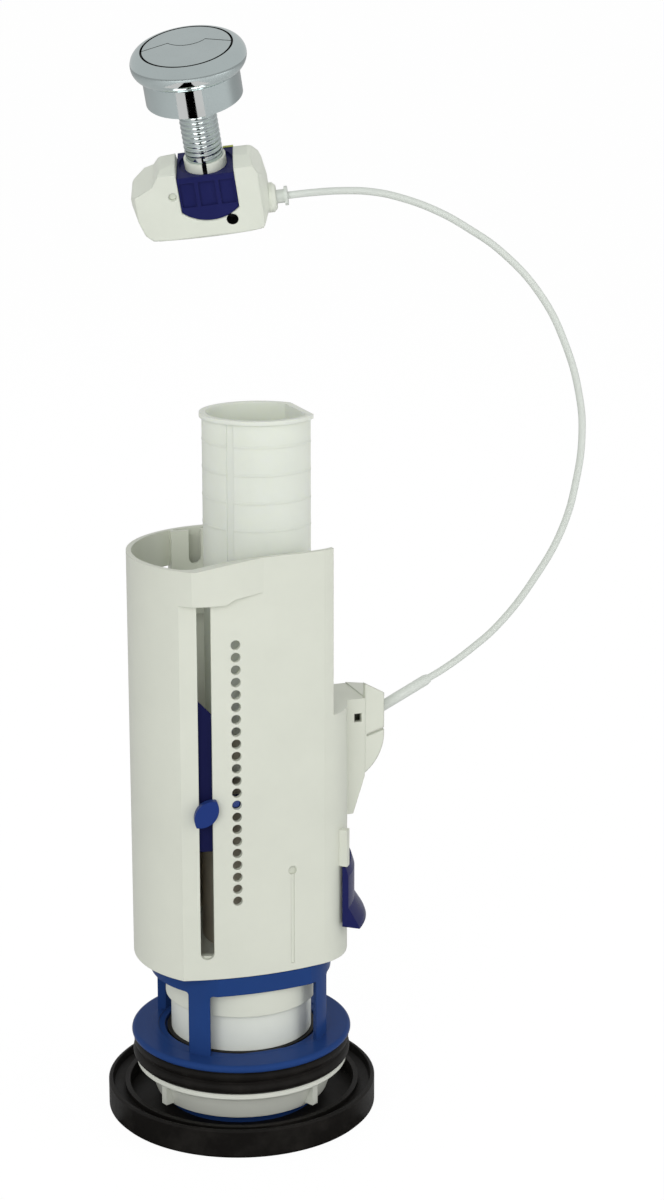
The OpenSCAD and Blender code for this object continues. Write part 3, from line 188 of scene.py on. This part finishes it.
class Finish:
    """A material under construction, with its surface shader and one way to add any other node."""

    def __init__(self, name):
        self.material = bpy.data.materials.new(name)
        self.material.use_nodes = True
        self.tree = self.material.node_tree
        self.tree.nodes.clear()
        output = self.tree.nodes.new("ShaderNodeOutputMaterial")
        self.surface = self.tree.nodes.new("ShaderNodeBsdfPrincipled")
        self.tree.links.new(self.surface.outputs[0], output.inputs["Surface"])
        self.place = self.node("ShaderNodeTexCoord", {}, {}, "Object")

    def node(self, kind, settings, inputs, out=0):
        made = self.tree.nodes.new(kind)
        for name, value in settings.items():
            if name == "stops":
                self.set_stops(made.color_ramp, value)
            else:
                setattr(made, name, value)
        self.feed(made, inputs)
        return Value(self, made.outputs[out])

    def feed(self, made, inputs):
        for name, value in inputs.items():
            if isinstance(value, Value):
                self.tree.links.new(value.socket, made.inputs[name])
            else:
                made.inputs[name].default_value = value

    def set_stops(self, ramp, stops):
        while len(ramp.elements) < len(stops):
            ramp.elements.new(1)
        for element, (position, level) in zip(ramp.elements, stops):
            element.position = position
            element.color = (level, level, level, 1)

    def set(self, **inputs):
        self.feed(self.surface, {name.replace("_", " "): value for name, value in inputs.items()})

    def in_head(self):
        """Place in the frame of the cable box, as three values."""
        offset = self.node("ShaderNodeVectorMath", {"operation": "SUBTRACT"}, {0: self.place, 1: HEAD_AT})
        return [self.node("ShaderNodeVectorMath", {"operation": "DOT_PRODUCT"}, {0: offset, 1: axis}, "Value")
                for axis in (HEAD_X, HEAD_Y, HEAD_Z)]

    def noise(self, scale, detail, rough):
        return self.node("ShaderNodeTexNoise", {}, {"Vector": self.place, "Scale": scale, "Detail": detail,
                                                    "Roughness": rough})

    def ramp(self, value, *stops):
        return self.node("ShaderNodeValToRGB", {"stops": stops}, {"Fac": value})

    def blend(self, share, first, second):
        inputs = {0: share, 6: rgba(first), 7: rgba(second)}
        return self.node("ShaderNodeMix", {"data_type": "RGBA"}, inputs, 2)

    def bump(self, height, strength, distance, edge):
        inputs = {"Height": height, "Strength": strength, "Distance": distance}
        if edge:
            inputs["Normal"] = self.node("ShaderNodeBevel", {"samples": 4}, {"Radius": edge})
        return self.node("ShaderNodeBump", {}, inputs)


def rgba(colour):
    if isinstance(colour, Value):
        return colour
    return (*colour[:3], 1.0)


def shade(colour, factor):
    return [channel * factor for channel in colour[:3]]


def moulded(name, colour, rough=0.34, grain=0.06, dark=0.94, soft=0.0, sheen=0.5, edge=1.0, painted_shade_mask=None):
    """Injection-moulded plastic: slow flow tones, a fine grain and softened edges, and painted black shade where a
    mask marks a hollow.
    """
    sizes = bpy.context.scene.valve_sizes
    finish = Finish(name)
    flow_marks = finish.noise(scale=38.0, detail=4.0, rough=0.6)
    grain_marks = finish.noise(scale=2600.0, detail=2.0, rough=0.6)
    cloud = finish.noise(scale=11.0, detail=2.0, rough=0.4)
    flow_tone, cloud_tone = 0.6, 0.4
    flow_gloss, grain_gloss = 0.16, 0.05
    flow_relief, relief_depth = 1.5, 0.12 * MM
    tone = finish.ramp(flow_marks * flow_tone + cloud * cloud_tone, (0.34, 0.0), (0.66, 1.0))
    skin = finish.blend(tone, shade(colour, dark), colour)
    # Painted black shade where the mask is 1
    if painted_shade_mask:
        skin = finish.blend(painted_shade_mask(*finish.in_head()), skin, bpy.context.scene.valve_colours.dark)
    finish.set(Base_Color=skin,
               Roughness=rough + (flow_marks - 0.5) * flow_gloss + (grain_marks - 0.5) * grain_gloss,
               Normal=finish.bump(grain_marks + flow_marks * flow_relief, strength=grain,
                                  distance=relief_depth, edge=edge * sizes.edge_radius),
               IOR=1.5, Specular_IOR_Level=sheen)
    if soft:
        finish.set(Subsurface_Weight=soft, Subsurface_Radius=(1.0, 1.0, 0.8), Subsurface_Scale=3.0 * MM)
    return finish.material


def rubber_finish(name, colour):
    """Black moulded rubber with a dusty bloom and a coarse skin."""
    sizes = bpy.context.scene.valve_sizes
    finish = Finish(name)
    rough, bloom_gloss, skin_gloss = 0.46, 0.16, 0.12
    bloom_tone = 2.2
    skin = finish.noise(scale=1400.0, detail=4.0, rough=0.65)
    bloom = finish.ramp(finish.noise(scale=70.0, detail=6.0, rough=0.7), (0.45, 0.0), (0.75, 1.0))
    finish.set(Base_Color=finish.blend(bloom, colour, shade(colour, bloom_tone)),
               Roughness=rough + bloom * bloom_gloss + (skin - 0.5) * skin_gloss,
               Normal=finish.bump(skin, strength=0.16, distance=0.2 * MM, edge=sizes.edge_radius),
               Specular_IOR_Level=0.12)
    return finish.material


def plated(name, colour, rough=0.05, painted_shade_mask=None):
    """Bright chrome plating with faint wipe marks, and painted black shade, not metal, where a mask marks a gap.
    """
    sizes = bpy.context.scene.valve_sizes
    finish = Finish(name)
    wipe_tone, wipe_gloss = 0.92, 0.05
    edge_share = 0.25
    wipe = finish.ramp(finish.noise(scale=60.0, detail=5.0, rough=0.6), (0.42, 0.0), (0.78, 1.0))
    orange_peel = finish.noise(scale=420.0, detail=2.0, rough=0.5)
    skin = finish.blend(wipe, colour, shade(colour, wipe_tone))
    metal = 1.0
    # Painted black shade, not metal, where the mask is 1
    if painted_shade_mask:
        shade_share = painted_shade_mask(*finish.in_head())
        skin = finish.blend(shade_share, skin, bpy.context.scene.valve_colours.dark)
        metal = 1.0 - shade_share
    finish.set(Base_Color=skin, Metallic=metal,
               Roughness=rough + wipe * wipe_gloss,
               Normal=finish.bump(orange_peel, strength=0.015, distance=0.1 * MM,
                                  edge=edge_share * sizes.edge_radius))
    return finish.material


def drawn_metal(name, colour):
    """Drawn or turned metal with fine streaks."""
    sizes = bpy.context.scene.valve_sizes
    finish = Finish(name)
    rough, streak_gloss = 0.3, 0.2
    streak_tone = 0.8
    edge_share = 0.3
    streak = finish.noise(scale=1800.0, detail=3.0, rough=0.6)
    finish.set(Base_Color=finish.blend(streak, shade(colour, streak_tone), colour), Metallic=1.0,
               Roughness=rough + (streak - 0.5) * streak_gloss,
               Normal=finish.bump(streak, strength=0.08, distance=0.05 * MM,
                                  edge=edge_share * sizes.edge_radius))
    return finish.material


def dress(material, *names):
    for name in names:
        mesh = NODES[name].data
        mesh.materials.clear()
        mesh.materials.append(material)


def new_piece(name, shape, material, body):
    """Turns a bmesh that is already in place into a piece that rides on a body."""
    mesh = bpy.data.meshes.new(name)
    shape.to_mesh(mesh)
    shape.free()
    mesh.materials.append(material)
    piece = bpy.data.objects.new(name, mesh)
    bpy.context.scene.collection.objects.link(piece)
    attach(piece, body)
    return piece


def end_centre(name, direction):
    """Centre of the end face of a round node, on the side that a direction points to."""
    points = [vertex.co for vertex in NODES[name].data.vertices]
    far = max(point.dot(direction) for point in points)
    slack = 0.02 * MM
    ring = [point for point in points if point.dot(direction) > far - slack]
    low = Vector([min(point[i] for point in ring) for i in range(3)])
    high = Vector([max(point[i] for point in ring) for i in range(3)])
    return (low + high) / 2


class FLUSHVALVE_OT_stage(bpy.types.Operator):
    """Sets up the camera, the pale floor with a painted reflection for the chrome, and the soft lights"""
    bl_idname = "flush_valve.stage"
    bl_label = "Stage"

    def execute(self, context):
        scene = context.scene
        self.add_camera(scene)
        # Where the button's skirt mirrors the floor: places the floor's painted reflection and the glint lamps
        skirt = HEAD_AT + SKIRT_HEIGHT * HEAD_Z
        look = (scene.camera.location - skirt).normalized()
        mirrored = 2 * look.dot(-HEAD_Y) * -HEAD_Y - look
        self.add_floor(scene, skirt, mirrored)
        self.set_world(scene)
        for name, place, size, power in LAMPS:
            self.add_lamp(name, Vector(place), LAMP_TARGET, size, power)
        below = skirt + GLINT_AHEAD * mirrored - GLINT_DROP * mirrored.cross(HEAD_X).normalized()
        for name, across in GLINT_OFFSETS:
            self.add_lamp(name, below + across * HEAD_X, skirt, GLINT_SIZE, GLINT_POWER, glint=True)
        scene.view_settings.view_transform = "Standard"
        return {"FINISHED"}

    def add_camera(self, scene):
        eye = Vector((-0.2910, -0.9050, 0.4559))
        forward = Vector((0.3308, 0.9089, -0.2539))
        data = bpy.data.cameras.new("camera")
        data.lens = 77.34
        data.sensor_width = 36.0
        camera = bpy.data.objects.new("camera", data)
        camera.location = eye
        camera.rotation_mode = "QUATERNION"
        camera.rotation_quaternion = forward.to_track_quat("-Z", "Y")
        scene.collection.objects.link(camera)
        scene.camera = camera

    def add_floor(self, scene, skirt, mirrored):
        reach = 20.0
        drop = 0.2 * MM
        shape = bmesh.new()
        bmesh.ops.create_grid(shape, x_segments=2, y_segments=2, size=reach)
        mesh = bpy.data.meshes.new("floor")
        shape.to_mesh(mesh)
        shape.free()
        floor = bpy.data.objects.new("floor", mesh)
        floor.location.z = -drop
        scene.collection.objects.link(floor)
        mesh.materials.append(self.pale_floor(skirt, mirrored))

    def pale_floor(self, skirt, mirrored):
        """White to the camera. For the chrome a painted reflection: only glossy rays see two glowing bright sheets
        with a black seam between them, set where the button's skirt mirrors the floor.
        """
        finish = Finish("pale_floor")
        finish.set(Base_Color=(0.80, 0.80, 0.80, 1.0), Roughness=0.9)
        painted_seam_half, painted_sheets_half, painted_sheets_reach = 0.089, 0.267, 0.3
        painted_sheet_tone, painted_seam_tone, white = (0.83, 0.755, 0.745), (0.0, 0.0, 0.0), (1.0, 1.0, 1.0)
        camera_share, brightness = 0.94, 1.03
        hit = skirt - mirrored * skirt.z / mirrored.z - HEAD_AT
        x, y, _ = finish.in_head()
        across = x - hit.dot(HEAD_X)
        along = y - hit.dot(HEAD_Y)
        # Painted reflection: glossy rays see the sheets glow, black along the seam
        painted_sheets = (across * across < painted_sheets_half ** 2) * (along * along < painted_sheets_reach ** 2)
        tone = finish.blend(across * across < painted_seam_half ** 2, painted_sheet_tone, painted_seam_tone)
        seen = finish.node("ShaderNodeLightPath", {}, {}, "Is Camera Ray")
        shine = finish.node("ShaderNodeLightPath", {}, {}, "Is Glossy Ray")
        glow = finish.node("ShaderNodeEmission", {}, {"Color": finish.blend(shine, white, tone),
                                                      "Strength": brightness})
        both = finish.node("ShaderNodeMixShader", {}, {0: seen * camera_share + shine * painted_sheets,
                                                       1: Value(finish, finish.surface.outputs[0]), 2: glow})
        output = next(node for node in finish.tree.nodes if node.type == "OUTPUT_MATERIAL")
        finish.tree.links.new(both.socket, output.inputs["Surface"])
        return finish.material

    def set_world(self, scene):
        world = bpy.data.worlds.new("pale_room")
        world.use_nodes = True
        scene.world = world
        tree = world.node_tree
        path = tree.nodes.new("ShaderNodeLightPath")
        level = self.room_light(tree)
        for ray, brightness in (("Is Glossy Ray", 0.62), ("Is Camera Ray", 1.0)):
            mixed = tree.nodes.new("ShaderNodeMix")
            mixed.inputs["B"].default_value = brightness
            tree.links.new(path.outputs[ray], mixed.inputs["Factor"])
            tree.links.new(level, mixed.inputs["A"])
            level = mixed.outputs["Result"]
        background = next(node for node in tree.nodes if node.type == "BACKGROUND")
        background.inputs["Color"].default_value = (1.0, 1.0, 1.0, 1.0)
        tree.links.new(level, background.inputs["Strength"])

    def room_light(self, tree):
        """Level of the room's light, dimmer overhead than at eye level."""
        direction = tree.nodes.new("ShaderNodeTexCoord")
        height = tree.nodes.new("ShaderNodeSeparateXYZ")
        tree.links.new(direction.outputs["Generated"], height.inputs[0])
        level = tree.nodes.new("ShaderNodeMapRange")
        for name, value in (("From Min", 0.0), ("From Max", 0.8), ("To Min", 0.57), ("To Max", 0.46)):
            level.inputs[name].default_value = value
        tree.links.new(height.outputs["Z"], level.inputs["Value"])
        return level.outputs[0]

    def add_lamp(self, name, place, target, size, power, glint=False):
        """A square lamp. Only mirrors see a glint, and they see no other lamp."""
        data = bpy.data.lights.new(name, "AREA")
        data.size = size
        data.energy = power
        lamp = bpy.data.objects.new(name, data)
        lamp.location = place
        lamp.visible_camera = False
        lamp.visible_glossy = glint
        lamp.visible_diffuse = not glint
        lamp.rotation_mode = "QUATERNION"
        lamp.rotation_quaternion = (target - place).to_track_quat("-Z", "Y")
        bpy.context.scene.collection.objects.link(lamp)


class FLUSHVALVE_OT_cable(bpy.types.Operator):
    """Makes the cable as one smooth curve between its two ferrules"""
    bl_idname = "flush_valve.cable"
    bl_label = "Cable"

    def execute(self, context):
        sizes = context.scene.valve_sizes
        colours = context.scene.valve_colours
        start = end_centre("upper_ferrule", HEAD_X)
        end = end_centre("lower_ferrule", WIRE_DIR)
        points = [start, start + CABLE_LEAD * HEAD_X]
        points += [Vector(point) for point in CABLE_ROUTE]
        points += [end + CABLE_LEAD * WIRE_DIR, end]
        curve = bpy.data.curves.new("cable", "CURVE")
        curve.dimensions = "3D"
        curve.bevel_depth = sizes.cable_diameter / 2
        curve.bevel_resolution = 6
        curve.resolution_u = 10
        spline = curve.splines.new("BEZIER")
        spline.bezier_points.add(len(points) - 1)
        for knot, point in zip(spline.bezier_points, points):
            knot.co = point
            knot.handle_left_type = "AUTO"
            knot.handle_right_type = "AUTO"
        curve.materials.append(
            moulded("cable_sheath", colours.cable, rough=0.4, grain=0.004, dark=0.97, edge=0.0))
        cable = bpy.data.objects.new("cable", curve)
        context.scene.collection.objects.link(cable)
        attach(cable, BODY)
        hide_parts("cable_sheath")
        return {"FINISHED"}


class FLUSHVALVE_OT_stem_thread(bpy.types.Operator):
    """Winds the thread round the button's stem"""
    bl_idname = "flush_valve.stem_thread"
    bl_label = "Stem thread"

    def execute(self, context):
        sizes = context.scene.valve_sizes
        colours = context.scene.valve_colours
        core = 6.95 * MM
        low = 16.6 * MM
        high = 43.2 * MM
        turns = math.floor((high - low) / sizes.thread_pitch)
        crest = core + sizes.thread_depth
        shoulder = core + 0.8 * sizes.thread_depth
        foot_half, crest_half = 0.46, 0.14
        profile = [(core, -foot_half), (shoulder, -crest_half), (crest, 0.0), (shoulder, crest_half),
                   (core, foot_half)]
        shape = bmesh.new()
        verts = [shape.verts.new((0.0, -radius, low + share * sizes.thread_pitch))
                 for radius, share in profile]
        edges = [shape.edges.new(pair) for pair in zip(verts, verts[1:])]
        steps = turns * sizes.thread_steps
        rise = turns * sizes.thread_pitch / steps
        bmesh.ops.spin(shape, geom=verts + edges, cent=(0, 0, 0), axis=(0, 0, 1), dvec=(0, 0, rise),
                       angle=turns * math.tau, steps=steps, use_merge=False)
        bmesh.ops.recalc_face_normals(shape, faces=shape.faces)
        for face in shape.faces:
            face.smooth = True
        bmesh.ops.transform(shape, matrix=HEAD, verts=shape.verts)
        chrome = plated("thread_chrome", shade(colours.chrome, 0.92), rough=0.12)
        new_piece("stem_thread", shape, chrome, BODY)
        return {"FINISHED"}


class FLUSHVALVE_OT_springs(bpy.types.Operator):
    """Winds the two return springs of the buttons"""
    bl_idname = "flush_valve.springs"
    bl_label = "Return springs"

    def execute(self, context):
        steel = drawn_metal("spring_steel", context.scene.valve_colours.steel)
        coil = 3.0 * MM
        wire = 0.4 * MM
        facets = 8
        turns = 5
        steps = 24 * turns
        length = 11.6 * MM
        offset = 10.5 * MM
        seat_height = 45.8 * MM
        rise = (length - 2 * wire) / steps
        for name, joint, across in (("full", "full_press", -offset), ("half", "half_press", offset)):
            seat = HEAD @ Vector((0.0, across, seat_height))
            shape = bmesh.new()
            ring = Matrix.Translation((coil, 0.0, wire)) @ Matrix.Rotation(math.tau / 4, 4, "X")
            bmesh.ops.create_circle(shape, segments=facets, radius=wire, matrix=ring)
            bmesh.ops.spin(shape, geom=shape.verts[:] + shape.edges[:], cent=(0, 0, 0), axis=(0, 0, 1),
                           dvec=(0, 0, rise), angle=turns * math.tau, steps=steps, use_merge=False)
            bmesh.ops.holes_fill(shape, edges=shape.edges[:], sides=facets)
            bmesh.ops.recalc_face_normals(shape, faces=shape.faces)
            for face in shape.faces:
                face.smooth = len(face.verts) == 4
            stand = Matrix.Translation(seat) @ HEAD.to_3x3().to_4x4()
            bmesh.ops.transform(shape, matrix=stand, verts=shape.verts)
            spring = new_piece(name + "_return_spring", shape, steel, BODY)
            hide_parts(name + "_button_spring")
            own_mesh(spring)
        return {"FINISHED"}


class FLUSHVALVE_OT_base(bpy.types.Operator):
    """Finishes the gasket, the seals, the nut and the basket"""
    bl_idname = "flush_valve.base"
    bl_label = "Base"

    def execute(self, context):
        colours = context.scene.valve_colours
        dress(rubber_finish("black_rubber", colours.rubber), "pan_gasket", "cistern_seal", "flap_seal")
        dress(moulded("nut_plastic", colours.nut, rough=0.36), "back_nut")
        dress(moulded("base_plastic", colours.base, rough=0.22, dark=0.88, sheen=0.04), "base_basket")
        return {"FINISHED"}


class FLUSHVALVE_OT_body(bpy.types.Operator):
    """Finishes the casing, the tube, the stem and the float"""
    bl_idname = "flush_valve.body"
    bl_label = "Body"

    def execute(self, context):
        colours = context.scene.valve_colours
        dress(moulded("casing_plastic", colours.casing, rough=0.38), "casing", "guide_plate")
        dress(moulded("anchor_plastic", colours.casing, rough=0.38, edge=3.0), "cable_anchor")
        dress(moulded("tube_plastic", colours.tube, rough=0.3, soft=0.6, sheen=0.0), "overflow_tube")
        dress(moulded("stem_plastic", colours.stem, rough=0.42), "valve_plunger", "seal_retainer",
              "lift_collar", "lift_lever")
        # The socket and the float get the inside colour, painted shade for the inside of the casing
        dress(moulded("inside_plastic", colours.inside, rough=0.5), "stem_socket", "main_float")
        return {"FINISHED"}


class FLUSHVALVE_OT_controls(bpy.types.Operator):
    """Finishes the half-flush adjuster and the flush shutter"""
    bl_idname = "flush_valve.controls"
    bl_label = "Adjusters"

    def execute(self, context):
        colours = context.scene.valve_colours
        dress(moulded("navy_plastic", colours.navy, rough=0.26, dark=0.86, sheen=0.06), "flush_shutter",
              "stem_clip")
        # The adjuster gets the navy darkened to 0.6, painted shade for its plate deep in the casing's slot
        dress(moulded("adjuster_plastic", shade(colours.navy, 0.6), rough=0.3, sheen=0.04),
              "half_flush_adjuster")
        dress(moulded("knob_plastic", colours.knob, rough=0.28, dark=0.85, sheen=0.06), "adjuster_knob")
        dress(moulded("peg_plastic", shade(colours.knob, 1.6), rough=0.28, dark=0.85), "adjuster_peg")
        return {"FINISHED"}


def box_hole_shade(x, y, z):
    """1 inside the hole on the front of the cable box, whose walls get painted black shade."""
    centre_x, centre_z, radius = 7.7 * MM, -6.4 * MM, 2.25 * MM
    front = -5.5 * MM
    across, along = x - centre_x, z - centre_z
    return (across * across + along * along < radius ** 2) * (y < front)


def collar_notch_shade(x, y, z):
    """1 in the notch on the front of the collar, which gets painted black shade."""
    half_width = 0.85 * MM
    return (x * x < half_width ** 2) * (y < 0.0)


def rim_inside_shade(x, y, z):
    """1 on the inside of the rim, painted black shade in the gap round the buttons, and where the collar's notch
    shows the stem, also painted black shade.
    """
    radius, floor, collar_top = 17.45 * MM, 46.0 * MM, 15.6 * MM
    inside = (x * x + y * y < radius ** 2) * (z > floor)
    return inside + collar_notch_shade(x, y, z) * (z < collar_top)


class FLUSHVALVE_OT_head(bpy.types.Operator):
    """Finishes the cable box and the push button"""
    bl_idname = "flush_valve.head"
    bl_label = "Cable box and button"

    def execute(self, context):
        colours = context.scene.valve_colours
        # The hole in the front of the box gets painted black shade
        dress(moulded("box_plastic", colours.box, rough=0.36, edge=3.0, painted_shade_mask=box_hole_shade), "actuator_body",
              "crank_pin")
        # The collar's notch gets painted black shade
        dress(moulded("collar_plastic", shade(colours.box, 1.06), rough=0.36, painted_shade_mask=collar_notch_shade),
              "stem_collar")
        dress(moulded("ferrule_plastic", colours.cable, rough=0.34, grain=0.004, edge=0.0), "upper_ferrule",
              "lower_ferrule")
        dress(moulded("lime_plastic", colours.lime, rough=0.36), "lock_tab", "bell_crank")
        dress(moulded("rod_plastic", colours.stem, rough=0.4), "full_push_rod", "half_push_rod")
        # The inside of the rim round the buttons gets painted black shade
        dress(plated("rim_chrome", colours.chrome, painted_shade_mask=rim_inside_shade), "button_housing")
        dress(plated("button_chrome", shade(colours.chrome, 0.96), rough=0.08), "full_flush_button",
              "half_flush_button")
        return {"FINISHED"}


class FLUSHVALVE_OT_metal(bpy.types.Operator):
    """Finishes the wires, the pin and the nipples"""
    bl_idname = "flush_valve.metal"
    bl_label = "Wires and pins"

    def execute(self, context):
        colours = context.scene.valve_colours
        dress(drawn_metal("drawn_steel", colours.steel), "lower_wire", "upper_wire", "lever_pin")
        dress(drawn_metal("turned_brass", colours.brass), "lower_nipple", "upper_nipple")
        return {"FINISHED"}


OPERATORS = (
    FLUSHVALVE_OT_stage, FLUSHVALVE_OT_cable, FLUSHVALVE_OT_stem_thread, FLUSHVALVE_OT_springs,
    FLUSHVALVE_OT_base, FLUSHVALVE_OT_body, FLUSHVALVE_OT_controls, FLUSHVALVE_OT_head, FLUSHVALVE_OT_metal,
)


class FLUSHVALVE_PT_sidebar(bpy.types.Panel):
    """Lists the steps that dress the flush valve"""
    bl_label = "Flush valve"
    bl_idname = "FLUSHVALVE_PT_sidebar"
    bl_space_type = "VIEW_3D"
    bl_region_type = "UI"
    bl_category = "Flush valve"

    def draw(self, context):
        for operator in OPERATORS:
            self.layout.operator(operator.bl_idname)
        for group in (context.scene.valve_sizes, context.scene.valve_colours):
            for name in group.__annotations__:
                self.layout.prop(group, name)


CLASSES = (ValveSizes, ValveColours, *OPERATORS, FLUSHVALVE_PT_sidebar)


def register():
    for cls in CLASSES:
        bpy.utils.register_class(cls)
    bpy.types.Scene.valve_sizes = PointerProperty(type=ValveSizes)
    bpy.types.Scene.valve_colours = PointerProperty(type=ValveColours)


def unregister():
    del bpy.types.Scene.valve_colours
    del bpy.types.Scene.valve_sizes
    for cls in reversed(CLASSES):
        bpy.utils.unregister_class(cls)


def main():
    register()
    for operator in OPERATORS:
        group, name = operator.bl_idname.split(".")
        getattr(getattr(bpy.ops, group), name)()


if __name__ == "__main__":
    main()
